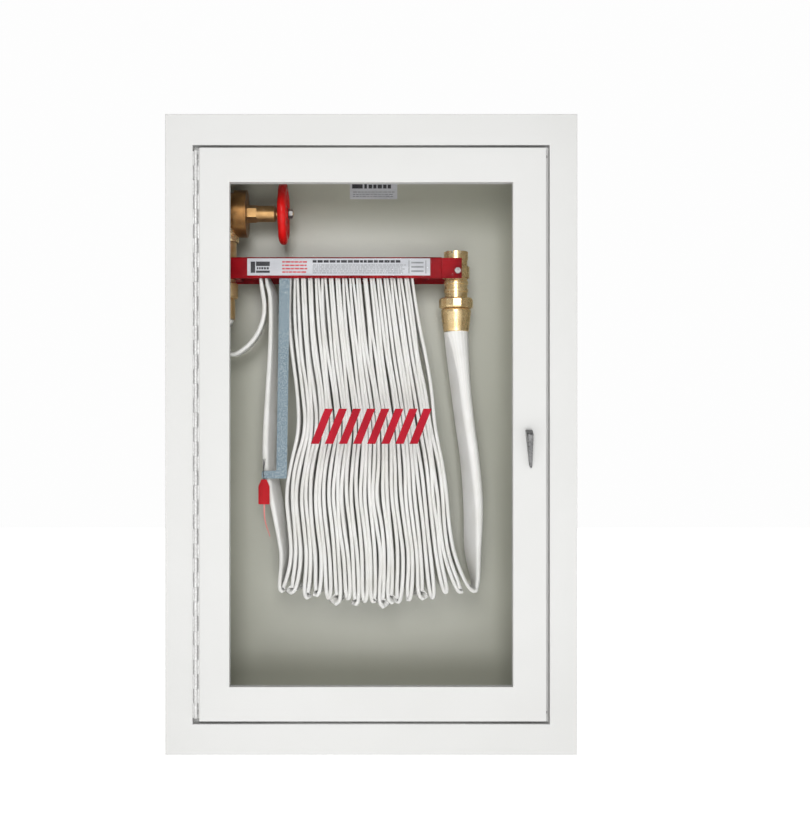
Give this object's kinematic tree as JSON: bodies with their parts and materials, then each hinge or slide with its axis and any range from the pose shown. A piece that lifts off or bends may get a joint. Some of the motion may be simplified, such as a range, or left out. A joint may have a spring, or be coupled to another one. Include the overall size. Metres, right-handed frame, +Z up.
{
  "type": "recessed fire hose cabinet",
  "caption": "Recessed steel fire hose cabinet with a glazed door, angle hose valve, swinging rack of folded flat hose and an adjustable nozzle.",
  "frame": {"origin": "centre of the trim in the plane of the finished wall, where the trim's rear edge meets it", "axes": "+X to the right as seen from the room, +Y into the wall, +Z up"},
  "size_m": [0.6984, 0.2332, 1.086],
  "materials": {
    "enamel_white": "satin",
    "enamel_red": "gloss",
    "brass": "satin",
    "zinc": "satin",
    "zinc_satin": "satin",
    "glass_clear": "gloss",
    "rubber_black": "matte",
    "label_silver": "satin",
    "plastic_white": "matte",
    "plastic_red": "satin",
    "magnet_grey": "matte",
    "packing_cord": "matte",
    "strap_blue": "satin",
    "hose_jacket": "matte"
  },
  "bodies": {
    "cabinet": {"tub_back": "enamel_white", "tub_sides": "enamel_white", "tub_ends": "enamel_white", "trim_frame": "enamel_white", "pipe_grommet": "rubber_black", "door_bumpers": "rubber_black", "wall_label": "label_silver", "catch_case": "plastic_white", "catch_poles": "zinc", "catch_magnet": "magnet_grey", "catch_screws": "zinc", "hinge_frame_leaf": "enamel_white", "hinge_pin": "zinc", "valve_body": "brass", "seat_ring": "brass", "bonnet_gasket": "rubber_black", "bonnet": "brass", "bonnet_ring": "brass", "stem_packing": "packing_cord", "packing_gland": "brass", "packing_nut": "brass", "rack_nipple": "brass", "nipple_gasket": "rubber_black", "supply_swivel": "brass"},
    "door": {"door_panel": "enamel_white", "door_backing": "enamel_white", "glazing_gasket": "rubber_black", "glass_pane": "glass_clear", "glazing_channels": "enamel_white", "glazing_screws": "zinc", "door_pull": "zinc_satin", "pull_screws": "zinc", "catch_keeper": "zinc", "hinge_door_leaf": "enamel_white"},
    "valve_disc": {"disc_holder": "brass", "disc_washer": "rubber_black"},
    "wheel": {"valve_stem": "brass", "handwheel": "enamel_red", "wheel_washer": "zinc", "wheel_nut": "zinc"},
    "rack": {"rack_channel": "enamel_red", "rack_clamp": "enamel_red", "clamp_bolts": "zinc", "hose_pins": "zinc", "rack_label": "label_silver", "nozzle_clip": "zinc", "clip_bolt": "zinc", "retainer_strap": "strap_blue", "supply_bowl": "brass", "hose": "hose_jacket", "nozzle_bowl": "brass", "nozzle_swivel": "brass", "nozzle_body": "brass", "nozzle_baffle": "brass"},
    "nozzle_slide": {"nozzle_seal": "rubber_black"},
    "nozzle_tip": {"nozzle_sleeve": "brass"},
    "tag": {"tie_ring": "zinc", "seal_tag": "plastic_red"}
  },
  "joints": [
    {"name": "door_swing", "type": "hinge", "parent": "cabinet", "child": "door", "pos_m": [-0.297, -0.0095, 0], "axis": [0, 0, -1], "range_deg": [0, 175]},
    {"name": "valve_lift", "type": "slide", "parent": "cabinet", "child": "valve_disc", "axis": [1, 0, 0], "range_m": [0, 0.018]},
    {"name": "handwheel_turn", "type": "hinge", "parent": "valve_disc", "child": "wheel", "pos_m": [-0.16, 0.125, 0.3995], "axis": [1, 0, 0], "range_deg": [0, 1440]},
    {"name": "rack_swing", "type": "hinge", "parent": "cabinet", "child": "rack", "pos_m": [-0.27, 0.125, 0.297], "axis": [0, 0, -1], "range_deg": [0, 8]},
    {"name": "nozzle_travel", "type": "slide", "parent": "rack", "child": "nozzle_slide", "axis": [0, 0, 1], "range_m": [0, 0.012]},
    {"name": "nozzle_turn", "type": "hinge", "parent": "nozzle_slide", "child": "nozzle_tip", "pos_m": [0.1536, 0.125, 0.29], "axis": [0, 0, 1], "range_deg": [0, 720]},
    {"name": "tag_swing", "type": "hinge", "parent": "rack", "child": "tag", "pos_m": [-0.1905, 0.0876, -0.0727], "axis": [0, 1, 0], "range_deg": [-25, 25]}
  ],
  "couplings": [
    {"joint": "valve_lift", "follows": "handwheel_turn", "m_per_rad": 0.000716},
    {"joint": "nozzle_travel", "follows": "nozzle_turn", "m_per_rad": 0.000954}
  ]
}
